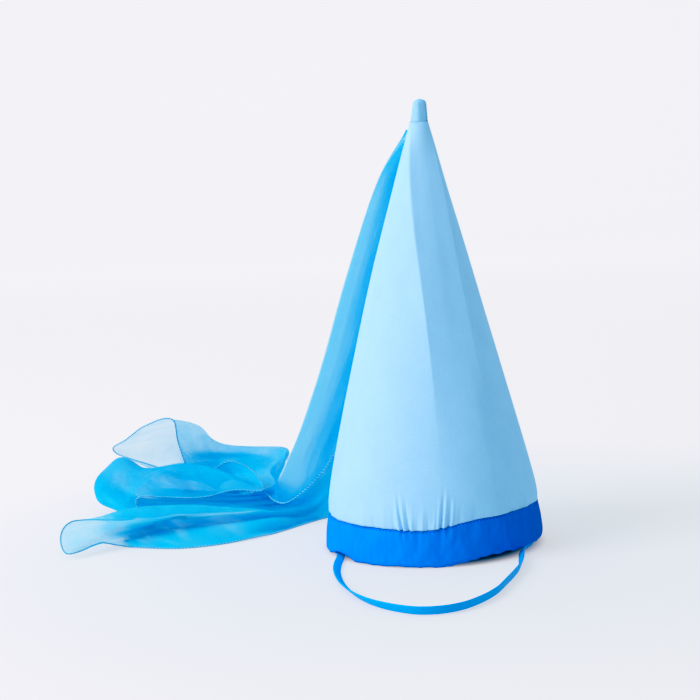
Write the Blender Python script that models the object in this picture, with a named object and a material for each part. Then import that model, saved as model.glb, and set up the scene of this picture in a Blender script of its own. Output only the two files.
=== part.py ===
"""A child's dress-up hennin: a stiffened cloth cone on a sewn band, with a chiffon veil
that falls from the tip and lies beside the hat, and an elastic chin strap.

The hat stands on its rim. World Z is up, the front faces -Y, and the origin is on the
floor at the middle of the box round the hat and its veil.
"""

import math
from collections import namedtuple

import bmesh
import bpy
from mathutils import Vector

# Hat, in metres
HAT_HEIGHT = 0.358
RIM_DIAMETER = 0.176
FIT_GAP = 0.0003

# Crown: one rolled and stiffened sheet of cloth
CROWN_WALL = 0.0025
CROWN_BELLY = 0.0020
CROWN_BOW = 0.0022
SEAM_PINCH = 0.0030
SEAM_PINCH_HEIGHT = 0.010
HAT_SIDES = 72

# Band: a folded strip sewn round the crown's lower edge
BAND_HEIGHT = 0.0295
BAND_WALL = 0.0030
BAND_TAPER = 0.0036
BAND_ROUNDING = 0.0012
BAND_DIP = 0.0014

# The rim stands a little off the floor on its right, where the strap props it up,
# and over the strap on its left
PROP_LIFT = 0.0056
STRAP_LIFT = 0.0042
STRAP_LIFT_HALF_WIDTH = math.radians(16)

# Tip: the gathered cloth end, sewn to a rounded nub
TIP_HEIGHT = 0.0175
TIP_DIAMETER = 0.0132
TIP_TOP_SHARE = 0.70
TIP_LEAN = 0.0010
TIP_SIDES = 20

# Veil: tapered chiffon, gathered at the tip
VEIL_WALL = 0.0010
VEIL_REACH = 0.222
VEIL_DEPTH = 0.262
VEIL_PILE = 0.085
VEIL_GATHER_DROP = 0.026
VEIL_BUNDLE_WIDTH = 0.062
VEIL_BUNDLE_DEPTH = 0.034
BUNDLE_FOOT = (0.25, 0.38, 0.34)
VEIL_STEPS_HANGING = 8
VEIL_STEPS_LYING = 20
VEIL_STEPS_ACROSS = 48

# Chin strap: flat elastic, shown in the model as a plain round cord
STRAP_DIAMETER = 0.0030
STRAP_POINT_SPACING = 0.0085

RIM_RADIUS = RIM_DIAMETER / 2
CROWN_TOP = HAT_HEIGHT - TIP_HEIGHT - FIT_GAP

# The hat's axis stands away from the origin, because the veil lies to its left and behind
HAT_X = VEIL_REACH / 2
HAT_Y = -(VEIL_DEPTH - RIM_RADIUS) / 2

Crease = namedtuple("Crease", "angle_low angle_high width ridge fade_in low high fade_out")
Pucker = namedtuple("Pucker", "angle width depth reach")
BundleFold = namedtuple("BundleFold", "across right back")
HangStep = namedtuple("HangStep", "drop left back width depth")
Run = namedtuple("Run", "across foot lie turn over hem")

# Creases of the stiffened cloth. Angles and widths are degrees, to the right of the front.
# The ridge is a share of the crown's radius, and the rest are shares of its height.
CREASES = (
    Crease(6, -50, 13, 0.013, 0.05, 0.28, 1.00, 1.01),
    Crease(36, 52, 9, 0.009, -0.02, 0.00, 0.30, 0.60),
    Crease(21, 30, 8, 0.006, 0.30, 0.45, 0.75, 0.95),
    Crease(-40, -75, 10, 0.007, -0.02, 0.00, 0.35, 0.75),
    Crease(118, 100, 14, 0.010, -0.02, 0.00, 0.60, 0.90),
    Crease(-128, -110, 15, 0.009, -0.02, 0.00, 0.55, 0.90),
)

# Gathers where the crown is sewn to the band: degrees, metres and a share of its height
PUCKERS = (
    Pucker(-19, 4.5, 0.0011, 0.14),
    Pucker(-6, 3.5, -0.0006, 0.08),
    Pucker(10, 4.5, 0.0012, 0.17),
    Pucker(17, 3.5, -0.0007, 0.10),
    Pucker(62, 5.0, 0.0008, 0.09),
    Pucker(-80, 5.0, 0.0008, 0.09),
    Pucker(150, 6.0, 0.0009, 0.10),
    Pucker(-160, 6.0, 0.0009, 0.10),
)

# The hanging veil is folded to and fro into four layers. Across is a share of the cloth's
# width, right a share of the bundle's width from its left fold and back one of its depth.
BUNDLE = (
    BundleFold(0.00, 0.65, -0.42),
    BundleFold(0.09, 0.20, -0.40),
    BundleFold(0.12, 0.04, -0.33),
    BundleFold(0.15, 0.02, -0.20),
    BundleFold(0.19, 0.12, -0.10),
    BundleFold(0.31, 0.54, 0.00),
    BundleFold(0.35, 0.62, 0.08),
    BundleFold(0.39, 0.54, 0.18),
    BundleFold(0.50, 0.12, 0.26),
    BundleFold(0.54, 0.03, 0.36),
    BundleFold(0.58, 0.10, 0.46),
    BundleFold(0.76, 0.52, 0.56),
    BundleFold(1.00, 1.00, 0.66),
)

# Where the bundle's left fold hangs, as shares of the way from the tip to the foot, and
# how much of the bundle's full width and depth has opened there
HANGING = (
    HangStep(drop=0.13, left=0.21, back=0.12, width=0.38, depth=0.34),
    HangStep(drop=0.39, left=0.43, back=0.36, width=0.64, depth=0.62),
    HangStep(drop=0.66, left=0.63, back=0.60, width=0.84, depth=0.85),
    HangStep(drop=0.89, left=0.84, back=0.84, width=0.97, depth=1.00),
)

# Runs of the cloth from the foot of the hanging bundle to the bottom hem, from the side
# edge on top of the pile, over its two ridges and under it to the edge along its front.
# Each place is (left, back, up): shares of the veil's reach from the rim, its depth behind
# the axis and the height of its highest fold.
RUNS = (
    Run(0.000, (0.17, 0.32, 0.24), (0.32, 0.57, 0.29), (0.45, 0.68, 0.32), (0.53, 0.69, 0.40), (0.61, 0.66, 0.47)),
    Run(0.050, (0.20, 0.35, 0.35), (0.24, 0.67, 0.40), (0.46, 0.79, 0.42), (0.55, 0.74, 0.59), (0.64, 0.68, 0.72)),
    Run(0.100, (0.23, 0.39, 0.48), (0.21, 0.79, 0.52), (0.49, 0.90, 0.56), (0.56, 0.79, 0.80), (0.65, 0.61, 0.99)),
    Run(0.150, (0.24, 0.42, 0.51), (0.23, 0.86, 0.47), (0.50, 0.96, 0.52), (0.63, 0.85, 0.78), (0.78, 0.69, 0.89)),
    Run(0.200, (0.23, 0.44, 0.45), (0.28, 0.89, 0.36), (0.53, 1.00, 0.35), (0.74, 0.91, 0.59), (0.89, 0.81, 0.68)),
    Run(0.250, (0.20, 0.42, 0.38), (0.34, 0.86, 0.26), (0.57, 0.98, 0.21), (0.78, 0.96, 0.31), (0.95, 0.89, 0.52)),
    Run(0.290, (0.18, 0.40, 0.31), (0.38, 0.81, 0.20), (0.57, 0.89, 0.18), (0.68, 0.86, 0.21), (0.78, 0.81, 0.40)),
    Run(0.320, (0.16, 0.39, 0.26), (0.35, 0.74, 0.18), (0.53, 0.80, 0.16), (0.59, 0.75, 0.26), (0.62, 0.69, 0.33)),
    Run(0.350, (0.14, 0.38, 0.22), (0.32, 0.68, 0.16), (0.49, 0.72, 0.16), (0.50, 0.64, 0.27), (0.50, 0.58, 0.45)),
    Run(0.385, (0.15, 0.39, 0.20), (0.32, 0.66, 0.14), (0.47, 0.66, 0.20), (0.44, 0.61, 0.38), (0.41, 0.57, 0.54)),
    Run(0.420, (0.18, 0.41, 0.20), (0.35, 0.67, 0.13), (0.50, 0.67, 0.16), (0.41, 0.58, 0.36), (0.32, 0.51, 0.47)),
    Run(0.450, (0.21, 0.43, 0.22), (0.41, 0.71, 0.12), (0.55, 0.69, 0.14), (0.40, 0.50, 0.40), (0.27, 0.42, 0.31)),
    Run(0.490, (0.24, 0.45, 0.26), (0.53, 0.76, 0.09), (0.62, 0.73, 0.14), (0.50, 0.53, 0.52), (0.38, 0.40, 0.33)),
    Run(0.530, (0.27, 0.47, 0.28), (0.64, 0.81, 0.09), (0.71, 0.75, 0.32), (0.61, 0.56, 0.54), (0.50, 0.34, 0.32)),
    Run(0.570, (0.27, 0.48, 0.26), (0.71, 0.82, 0.09), (0.81, 0.76, 0.39), (0.73, 0.53, 0.44), (0.65, 0.33, 0.33)),
    Run(0.600, (0.25, 0.48, 0.22), (0.76, 0.81, 0.09), (0.91, 0.78, 0.51), (0.80, 0.49, 0.32), (0.75, 0.36, 0.31)),
    Run(0.640, (0.22, 0.47, 0.19), (0.75, 0.75, 0.05), (0.99, 0.69, 0.32), (0.86, 0.52, 0.16), (0.77, 0.40, 0.18)),
    Run(0.690, (0.18, 0.46, 0.15), (0.67, 0.66, 0.05), (0.94, 0.60, 0.13), (0.85, 0.49, 0.09), (0.78, 0.38, 0.08)),
    Run(0.750, (0.15, 0.45, 0.13), (0.49, 0.56, 0.06), (0.71, 0.50, 0.05), (0.81, 0.40, 0.09), (0.85, 0.29, 0.14)),
    Run(0.820, (0.11, 0.44, 0.14), (0.32, 0.43, 0.11), (0.56, 0.33, 0.16), (0.77, 0.25, 0.25), (0.97, 0.17, 0.21)),
    Run(0.870, (0.08, 0.43, 0.15), (0.28, 0.31, 0.21), (0.54, 0.19, 0.33), (0.77, 0.15, 0.32), (0.99, 0.04, 0.16)),
    Run(0.905, (0.06, 0.42, 0.15), (0.28, 0.22, 0.22), (0.55, 0.08, 0.26), (0.77, 0.04, 0.21), (0.94, -0.08, 0.06)),
    Run(0.935, (0.05, 0.42, 0.11), (0.27, 0.24, 0.12), (0.53, 0.16, 0.12), (0.71, 0.13, 0.11), (0.86, 0.02, 0.07)),
    Run(0.965, (0.04, 0.41, 0.06), (0.26, 0.18, 0.09), (0.52, 0.08, 0.09), (0.69, 0.08, 0.07), (0.84, 0.07, 0.05)),
    Run(1.000, (0.02, 0.41, 0.01), (0.26, 0.15, 0.01), (0.48, 0.03, 0.01), (0.67, 0.04, 0.01), (0.80, 0.10, 0.01)),
)

# The strap's route from its sewn end inside the band's left side, under the rim, round
# in front of the hat and back to the right side: metres from the hat's axis
STRAP_ROUTE = (
    (-0.0810, -0.0060, 0.0150),
    (-0.0812, -0.0100, 0.0080),
    (-0.0805, -0.0150, 0.0035),
    (-0.0785, -0.0230, 0.0018),
    (-0.0750, -0.0360, 0.0016),
    (-0.0745, -0.0500, 0.0016),
    (-0.0755, -0.0720, 0.0016),
    (-0.0750, -0.0980, 0.0016),
    (-0.0710, -0.1290, 0.0016),
    (-0.0645, -0.1550, 0.0017),
    (-0.0570, -0.1760, 0.0020),
    (-0.0480, -0.1930, 0.0023),
    (-0.0370, -0.2070, 0.0026),
    (-0.0240, -0.2180, 0.0028),
    (-0.0110, -0.2240, 0.0030),
    (0.0040, -0.2230, 0.0030),
    (0.0180, -0.2150, 0.0030),
    (0.0290, -0.2020, 0.0030),
    (0.0380, -0.1870, 0.0030),
    (0.0450, -0.1710, 0.0030),
    (0.0520, -0.1480, 0.0030),
    (0.0590, -0.1240, 0.0030),
    (0.0640, -0.1030, 0.0030),
    (0.0665, -0.0780, 0.0028),
    (0.0680, -0.0560, 0.0026),
    (0.0715, -0.0400, 0.0024),
    (0.0765, -0.0270, 0.0028),
    (0.0800, -0.0160, 0.0060),
    (0.0812, -0.0090, 0.0110),
    (0.0812, -0.0040, 0.0170),
)
LEFT_EXIT_ANGLE = math.radians(-59)

LINEN_BLUE = (0.42, 0.72, 0.97)
BAND_BLUE = (0.00, 0.18, 0.96)
TIP_BLUE = (0.20, 0.52, 0.78)
CHIFFON_BLUE = (0.02, 0.40, 0.92)
ELASTIC_BLUE = (0.00, 0.36, 0.88)


def clear_scene():
    for thing in list(bpy.data.objects):
        bpy.data.objects.remove(thing)


def make_material(name, colour, roughness):
    material = bpy.data.materials.new(name)
    material.use_nodes = True
    shader = material.node_tree.nodes["Principled BSDF"]
    shader.inputs["Base Color"].default_value = (*colour, 1)
    shader.inputs["Roughness"].default_value = roughness
    shader.inputs["Metallic"].default_value = 0
    return material


def add_object(name, data, material, parent):
    thing = bpy.data.objects.new(name, data)
    data.materials.append(material)
    bpy.context.collection.objects.link(thing)
    thing.parent = parent
    return thing


def mix(a, b, share):
    return a + (b - a) * share


def ease(low, high, value):
    share = min(1, max(0, (value - low) / (high - low)))
    return share * share * (3 - 2 * share)


def turned_from(angle, centre):
    """The angle from a centre, between minus and plus half a turn."""
    return math.remainder(angle - centre, 2 * math.pi)


def around(radius, angle, height, shift=0):
    """A point at an angle to the right of the hat's front."""
    return Vector((shift + radius * math.sin(angle), -radius * math.cos(angle), height))


def rim_lift(angle):
    """How far the rim stands off the floor: propped on the right, arched over the strap."""
    degrees = math.degrees(turned_from(angle, math.radians(60)))
    prop = PROP_LIFT * ease(-58, -28, degrees) * (1 - ease(30, 58, degrees))
    off = turned_from(angle, LEFT_EXIT_ANGLE) / STRAP_LIFT_HALF_WIDTH
    arch = STRAP_LIFT * math.cos(math.pi / 2 * off) ** 2 if abs(off) < 1 else 0
    return max(prop, arch)


def band_top(angle):
    """The height of the seam between band and crown."""
    degrees = math.degrees(turned_from(angle, math.radians(60)))
    raised = PROP_LIFT * ease(-66, -30, degrees) * (1 - ease(40, 75, degrees))
    dip = BAND_DIP * math.exp(-(math.degrees(turned_from(angle, math.radians(-8))) / 16) ** 2)
    return BAND_HEIGHT + raised - dip


def crown_radius(share, angle):
    """The crown's outer radius at a share of its height."""
    low = RIM_RADIUS - BAND_TAPER + SEAM_PINCH
    high = TIP_DIAMETER / 2 + 0.0006
    radius = mix(low, high, share) + CROWN_BELLY * 4 * share * (1 - share)
    for crease in CREASES:
        strength = ease(crease.fade_in, crease.low, share) * (1 - ease(crease.high, crease.fade_out, share))
        centre = math.radians(mix(crease.angle_low, crease.angle_high, share ** 4))
        off = math.degrees(turned_from(angle, centre)) / crease.width
        radius *= 1 + crease.ridge * strength / (1 + off * off)
    above = share * (CROWN_TOP - BAND_HEIGHT)
    radius -= SEAM_PINCH * math.exp(-above / SEAM_PINCH_HEIGHT)
    for pucker in PUCKERS:
        off = math.degrees(turned_from(angle, math.radians(pucker.angle))) / pucker.width
        radius += pucker.depth * math.exp(-off * off) * (1 - ease(0, pucker.reach, share))
    return radius


def crown_point(share, angle, inset=0):
    height = mix(band_top(angle) + FIT_GAP, CROWN_TOP, share)
    shift = -CROWN_BOW * math.sin(math.pi * share)
    return around(crown_radius(share, angle) - inset, angle, height, shift)


def loft(rings, closed):
    """A closed solid through rings of points: a tube that meets itself, or one with two caps."""
    bm = bmesh.new()
    loops = [[bm.verts.new(point) for point in ring] for ring in rings]
    pairs = list(zip(loops, loops[1:]))
    if closed:
        pairs.append((loops[-1], loops[0]))
    else:
        bm.faces.new(loops[0])
        bm.faces.new(loops[-1])
    for low, high in pairs:
        for step in range(len(low)):
            bm.faces.new((low[step - 1], low[step], high[step], high[step - 1]))
    bmesh.ops.recalc_face_normals(bm, faces=bm.faces[:])
    mesh = bpy.data.meshes.new("loft")
    bm.to_mesh(mesh)
    bm.free()
    mesh.shade_smooth()
    mesh.set_sharp_from_angle(angle=math.radians(50))
    return mesh


def angles(count):
    return [2 * math.pi * step / count for step in range(count)]


def make_crown(axis):
    """A hollow cone: down the inside from its closed end, and up the outside to the top."""
    inner = [0.965, 0.88, 0.7, 0.45, 0.2, 0.06, 0]
    outer = [0, 0.022, 0.05, 0.09, 0.15, 0.24, 0.36, 0.5, 0.64, 0.78, 0.89, 0.96, 1]
    rings = [[crown_point(share, angle, CROWN_WALL) for angle in angles(HAT_SIDES)] for share in inner]
    rings += [[crown_point(share, angle) for angle in angles(HAT_SIDES)] for share in outer]
    mesh = loft(rings, closed=False)
    return add_object("crown", mesh, make_material("linen", LINEN_BLUE, 0.75), axis)


def band_section(angle):
    """The band's cross-section: flat below, rounded at its lower outer corner."""
    low = rim_lift(angle)
    high = band_top(angle)
    top_radius = RIM_RADIUS - BAND_TAPER
    corner = BAND_ROUNDING
    outline = [(RIM_RADIUS - BAND_WALL, low)]
    for step in range(4):
        turn = math.pi / 2 * step / 3
        outline.append((RIM_RADIUS - corner * (1 - math.sin(turn)), low + corner * (1 - math.cos(turn))))
    outline.append((mix(RIM_RADIUS, top_radius, 0.45) + corner / 3, mix(low, high, 0.5)))
    outline.append((top_radius + corner / 3, high - corner))
    outline.append((top_radius - corner / 3, high))
    outline.append((top_radius - BAND_WALL, high))
    return [around(radius, angle, height) for radius, height in outline]


def make_band(axis):
    mesh = loft([band_section(angle) for angle in angles(HAT_SIDES)], closed=True)
    return add_object("brim_band", mesh, make_material("band_cloth", BAND_BLUE, 0.6), axis)


def make_tip(axis):
    """The nub: nearly straight sides and a rounded end, leaning a little to the right."""
    low = CROWN_TOP + FIT_GAP
    rings = []
    for share in (0, 0.25, 0.5, 0.72, 0.84, 0.93, 0.98):
        rounding = math.sqrt(1 - max(0, (share - 0.66) / 0.34) ** 2)
        radius = TIP_DIAMETER / 2 * mix(1, TIP_TOP_SHARE, share) * rounding
        height = mix(low, HAT_HEIGHT, share / 0.98)
        rings.append([around(radius, angle, height, TIP_LEAN * share) for angle in angles(TIP_SIDES)])
    mesh = loft(rings, closed=False)
    return add_object("tip_cap", mesh, make_material("tip_cloth", TIP_BLUE, 0.7), axis)


def spline(points, at):
    """A smooth curve through points, read at a number of steps along them."""
    step = min(int(at), len(points) - 2)
    share = at - step
    here, there = points[step], points[step + 1]
    before = points[step - 1] if step > 0 else 2 * here - there
    after = points[step + 2] if step + 2 < len(points) else 2 * there - here
    bend = 2 * before - 5 * here + 4 * there - after
    twist = -before + 3 * here - 3 * there + after
    return here + 0.5 * share * (there - before + share * (bend + share * twist))


def table_step(rows, across):
    """Where a share of the cloth's width lies among a table's rows."""
    for step, (here, there) in enumerate(zip(rows, rows[1:])):
        if across <= there.across:
            return step + (across - here.across) / (there.across - here.across)
    return len(rows) - 1


def veil_place(left, back, up):
    return Vector((-RIM_RADIUS - left * VEIL_REACH, back * VEIL_DEPTH, up * VEIL_PILE))


def gathered_point(across):
    """Where the cloth is sewn round the back of the crown's tip."""
    height = HAT_HEIGHT - VEIL_GATHER_DROP
    share = (height - BAND_HEIGHT) / (CROWN_TOP - BAND_HEIGHT)
    angle = math.radians(mix(-80, -200, across))
    shift = -CROWN_BOW * math.sin(math.pi * share)
    return around(crown_radius(share, angle) + FIT_GAP + VEIL_WALL / 2, angle, height, shift)


def hanging_point(across, step):
    """The folded bundle on its way from the tip to its foot on the floor."""
    folds = [Vector((fold.right, fold.back, 0)) for fold in BUNDLE]
    fold = spline(folds, table_step(BUNDLE, across))
    start = Vector((-TIP_DIAMETER / 2, TIP_DIAMETER / 2, HAT_HEIGHT - VEIL_GATHER_DROP))
    foot = veil_place(*BUNDLE_FOOT)
    return Vector((
        mix(start.x, foot.x, step.left) + fold.x * VEIL_BUNDLE_WIDTH * step.width,
        mix(start.y, foot.y, step.back) + fold.y * VEIL_BUNDLE_DEPTH * step.depth,
        mix(start.z, foot.z, step.drop),
    ))


def veil_net(across):
    """The places that one thread of the veil runs through, from the tip to the hem."""
    places = [gathered_point(across)]
    places += [hanging_point(across, step) for step in HANGING]
    step = table_step(RUNS, across)
    for column in ("foot", "lie", "turn", "over", "hem"):
        places.append(spline([veil_place(*getattr(run, column)) for run in RUNS], step))
    return places


def veil_point(net, along):
    """A point of the veil's middle surface, kept off the floor."""
    point = spline(net, along)
    point.z = max(point.z, VEIL_WALL / 2 + FIT_GAP)
    return point


def make_veil(axis):
    """One sheet, moved point by point from a flat grid and given its thickness."""
    steps_along = VEIL_STEPS_HANGING + VEIL_STEPS_LYING
    bm = bmesh.new()
    bmesh.ops.create_grid(bm, x_segments=steps_along, y_segments=VEIL_STEPS_ACROSS, size=0.5)
    nets = {}
    for point in bm.verts:
        across = round(point.co.y + 0.5, 6)
        if across not in nets:
            nets[across] = veil_net(across)
        net = nets[across]
        step = (point.co.x + 0.5) * steps_along
        foot = 1 + len(HANGING)
        hanging = foot * min(1, step / VEIL_STEPS_HANGING)
        lying = (len(net) - 1 - foot) * max(0, step - VEIL_STEPS_HANGING) / VEIL_STEPS_LYING
        point.co = veil_point(net, hanging + lying)
    mesh = bpy.data.meshes.new("veil")
    bm.to_mesh(mesh)
    bm.free()
    mesh.shade_smooth()
    veil = add_object("veil", mesh, make_material("chiffon", CHIFFON_BLUE, 0.6), axis)
    wall = veil.modifiers.new("cloth", "SOLIDIFY")
    wall.thickness = VEIL_WALL
    wall.offset = 0
    return veil


def make_strap(axis):
    """A round cord through points read from a smooth curve through the strap's route."""
    route = [Vector(place) for place in STRAP_ROUTE]
    fine = [spline(route, step / 20) for step in range(20 * (len(route) - 1) + 1)]
    length = sum((b - a).length for a, b in zip(fine, fine[1:]))
    spacing = length / round(length / STRAP_POINT_SPACING)
    points = [fine[0]]
    walked = 0
    for a, b in zip(fine, fine[1:]):
        walked += (b - a).length
        if walked >= spacing * len(points) - 1e-6:
            points.append(b)
    curve = bpy.data.curves.new("chin_strap", "CURVE")
    curve.dimensions = "3D"
    curve.bevel_depth = STRAP_DIAMETER / 2
    curve.bevel_resolution = 2
    curve.use_fill_caps = True
    line = curve.splines.new("POLY")
    line.points.add(len(points) - 1)
    for slot, point in zip(line.points, points):
        slot.co = (*point, 1)
    return add_object("chin_strap", curve, make_material("elastic", ELASTIC_BLUE, 0.5), axis)


def main():
    clear_scene()
    axis = bpy.data.objects.new("hat_axis", None)
    axis.location = (HAT_X, HAT_Y, 0)
    bpy.context.collection.objects.link(axis)
    make_crown(axis)
    make_band(axis)
    make_tip(axis)
    make_veil(axis)
    make_strap(axis)


main()
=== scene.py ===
"""A child's dress-up hennin with the finish of the real one: a cone of stiffened linen on a
sewn satin band, a gathered nub, a chiffon veil lying in folds beside it and an elastic strap.

The script is laid out as a Blender add-on, and runs by itself from top to bottom. It loads
the hat's solids and dresses them. Lengths are metres, Z is up and the front faces -Y.
"""

import math
from collections import namedtuple

import bmesh
import bpy
from bpy.props import FloatProperty, FloatVectorProperty, PointerProperty
from mathutils import Matrix, Vector, noise


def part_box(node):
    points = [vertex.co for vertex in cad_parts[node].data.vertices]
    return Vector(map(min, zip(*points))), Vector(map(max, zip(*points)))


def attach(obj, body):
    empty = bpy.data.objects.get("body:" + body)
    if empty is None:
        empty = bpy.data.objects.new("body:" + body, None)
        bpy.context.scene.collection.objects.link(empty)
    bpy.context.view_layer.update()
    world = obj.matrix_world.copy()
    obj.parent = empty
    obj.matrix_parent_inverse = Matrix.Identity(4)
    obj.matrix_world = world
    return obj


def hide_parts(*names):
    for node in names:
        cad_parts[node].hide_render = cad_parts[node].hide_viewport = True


bl_info = {
    "name": "Hennin Cone Hat",
    "version": (1, 0, 0),
    "blender": (4, 5, 0),
    "location": "View3D > Sidebar > Hennin",
    "description": "Linen, satin, chiffon and elastic for a cone hat with a veil",
    "category": "Add Mesh",
}

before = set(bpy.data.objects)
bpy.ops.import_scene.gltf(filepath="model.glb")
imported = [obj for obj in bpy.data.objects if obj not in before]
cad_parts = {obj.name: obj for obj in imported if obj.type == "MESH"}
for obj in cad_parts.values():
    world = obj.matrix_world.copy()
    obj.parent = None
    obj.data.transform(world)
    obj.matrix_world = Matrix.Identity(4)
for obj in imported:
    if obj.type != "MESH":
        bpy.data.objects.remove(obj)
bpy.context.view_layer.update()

BODY = "root"

# What the frame says of the hat
BAND_LOW, BAND_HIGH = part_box("brim_band")
CROWN_LOW, CROWN_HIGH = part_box("crown")
TIP_LOW, TIP_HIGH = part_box("tip_cap")
VEIL_LOW, VEIL_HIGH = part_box("veil")
HAT_AXIS = Vector(((BAND_LOW.x + BAND_HIGH.x) / 2, (BAND_LOW.y + BAND_HIGH.y) / 2, 0))
RIM_RADIUS = (BAND_HIGH.x - BAND_LOW.x) / 2
HAT_HEIGHT = TIP_HIGH.z
CROWN_TOP = CROWN_HIGH.z
TIP_RADIUS = (TIP_HIGH.x - TIP_LOW.x) / 2

# Sizes of the hat's own pieces
FIT_GAP = 0.0003
CROWN_BELLY = 0.0020
CROWN_BOW = 0.0022
SEAM_PINCH = 0.0030
SEAM_PINCH_HEIGHT = 0.010
BAND_TAPER = 0.0036
BAND_DIP = 0.0014
BAND_HEIGHT = 0.0295
PROP_LIFT = 0.0056
STRAP_LIFT = 0.0042
STRAP_LIFT_HALF_WIDTH = math.radians(16)
BACK_SEAM_ANGLE = 176
BACK_SEAM_WIDTH = 1.3
BACK_SEAM_DEPTH = 0.0008
LEFT_EXIT_ANGLE = math.radians(-59)
TIP_TOP_SHARE = 0.70
TIP_LEAN = 0.0010
NUB_CURL = 0.80
NUB_LAP = 0.0008
VEIL_REACH = 0.222
VEIL_DEPTH = 0.262
VEIL_PILE = 0.085
VEIL_GATHER_DROP = 0.024
VEIL_BUNDLE_WIDTH = 0.062
VEIL_BUNDLE_DEPTH = 0.034
BUNDLE_FOOT = (0.25, 0.38, 0.34)
VEIL_FLAT_WIDTH = 0.42
VEIL_TOP_WIDTH = 0.12
VEIL_FLAT_LENGTH = 0.62

Crease = namedtuple("Crease", "angle_low angle_high width ridge fade_in low high fade_out")
Facet = namedtuple("Facet", "left_low left_high right_low right_high depth fade_in low high fade_out")
Pucker = namedtuple("Pucker", "angle lean width depth reach")
BundleFold = namedtuple("BundleFold", "across right back")
HangStep = namedtuple("HangStep", "drop left back width depth")
Run = namedtuple("Run", "across foot lie turn over hem")
StrapPoint = namedtuple("StrapPoint", "x y z lean")
CoverSpot = namedtuple("CoverSpot", "across along reach_across reach_along core cover")

# Creases of the stiffened cloth. Angles and widths are degrees, to the right of the front.
# The ridge is a share of the crown's radius, and the rest are shares of its height.
CREASES = (
    Crease(6, -50, 13, 0.013, 0.05, 0.28, 1.00, 1.01),
    Crease(36, 52, 9, 0.009, -0.02, 0.00, 0.30, 0.60),
    Crease(21, 30, 8, 0.006, 0.30, 0.45, 0.75, 0.95),
    Crease(-40, -75, 10, 0.007, -0.02, 0.00, 0.35, 0.75),
    Crease(118, 100, 14, 0.010, -0.02, 0.00, 0.60, 0.90),
    Crease(-128, -110, 15, 0.009, -0.02, 0.00, 0.55, 0.90),
)

# Stretches of the cone that have set flat between two creases: the creases' angles low and
# high on the cone, how far the flat is carried through, and where it starts and ends
FACETS = (
    Facet(6, -50, 44, 72, 0.80, 0.08, 0.50, 0.90, 1.00),
    Facet(-58, -110, 6, -50, 0.55, 0.25, 0.60, 0.90, 1.00),
    Facet(44, 72, 88, 110, 0.35, 0.20, 0.55, 0.85, 1.00),
    Facet(36, 36, 78, 78, 0.30, -0.02, 0.00, 0.20, 0.45),
    Facet(150, 150, 200, 200, 0.30, -0.02, 0.00, 0.60, 0.90),
)

# The way towards the window lamp, then the satin's painted shade on the side turned away from it and its painted
# highlight on the side turned towards it
SATIN_PAINTED_LIGHT_FROM = (-0.85, -0.50, 0.15)
SATIN_PAINTED_SHADE = (1, 0.50, 0.60)
SATIN_PAINTED_HIGHLIGHT = (1, 1.35, 1.08)

# How strongly the gathers show, and how far the crown's points are crowded to its front
PUCKER_STRENGTH = 1.4
FRONT_CROWDING = 0.5

# Gathers where the crown is sewn to the band: degrees, metres and a share of its height
PUCKERS = (
    Pucker(-40, 0.5, 1.6, 0.0005, 0.060),
    Pucker(-33, -0.6, 1.3, -0.0005, 0.050),
    Pucker(-27, 0.4, 1.5, 0.0004, 0.080),
    Pucker(-21.0, -1.2, 1.3, -0.0006, 0.070),
    Pucker(-18.4, -2.4, 0.9, 0.0008, 0.100),
    Pucker(-16.8, -3.0, 0.6, -0.0014, 0.100),
    Pucker(-15.4, -2.0, 0.8, 0.0011, 0.100),
    Pucker(-13.4, -1.4, 0.6, -0.0013, 0.090),
    Pucker(-11.6, 0.6, 0.9, 0.0008, 0.070),
    Pucker(-9.0, 1.5, 0.8, -0.0004, 0.050),
    Pucker(-6.0, 1.2, 1.0, 0.0005, 0.080),
    Pucker(-3.0, 0.4, 0.8, -0.0005, 0.050),
    Pucker(0.0, 1.6, 0.8, 0.0006, 0.060),
    Pucker(2.0, 3.0, 0.7, 0.0008, 0.100),
    Pucker(3.6, 3.6, 0.6, -0.0015, 0.100),
    Pucker(5.2, 3.4, 0.8, 0.0012, 0.100),
    Pucker(7.6, 2.8, 0.6, -0.0013, 0.075),
    Pucker(9.2, 2.6, 0.9, 0.0008, 0.070),
    Pucker(13.5, 2.0, 1.2, -0.0004, 0.060),
    Pucker(22, 1.0, 1.6, -0.0004, 0.050),
    Pucker(31, 0.0, 2.2, 0.0004, 0.050),
    Pucker(47, -1.0, 2.0, -0.0006, 0.080),
    Pucker(62, 0.0, 2.6, 0.0007, 0.090),
    Pucker(-62, 0.0, 2.4, 0.0006, 0.080),
    Pucker(-80, 1.0, 2.4, -0.0007, 0.090),
    Pucker(96, 0.0, 2.2, -0.0006, 0.080),
    Pucker(122, -1.0, 2.6, 0.0008, 0.100),
    Pucker(150, 1.0, 2.2, -0.0009, 0.100),
    Pucker(158, -1.0, 1.8, 0.0008, 0.120),
    Pucker(-160, 0.0, 2.2, -0.0009, 0.100),
    Pucker(-140, 1.0, 2.6, 0.0008, 0.090),
    Pucker(-112, 0.0, 2.2, -0.0006, 0.080),
)

# The hanging veil is folded to and fro into four layers. Across is a share of the cloth's
# width, right a share of the bundle's width from its left fold and back one of its depth.
BUNDLE = (
    BundleFold(0.00, 0.65, -0.42),
    BundleFold(0.09, 0.20, -0.40),
    BundleFold(0.12, 0.04, -0.33),
    BundleFold(0.15, 0.02, -0.20),
    BundleFold(0.19, 0.12, -0.10),
    BundleFold(0.31, 0.54, 0.00),
    BundleFold(0.35, 0.62, 0.08),
    BundleFold(0.39, 0.54, 0.18),
    BundleFold(0.50, 0.12, 0.26),
    BundleFold(0.54, 0.03, 0.36),
    BundleFold(0.58, 0.10, 0.46),
    BundleFold(0.76, 0.52, 0.56),
    BundleFold(1.00, 1.00, 0.66),
)

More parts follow.
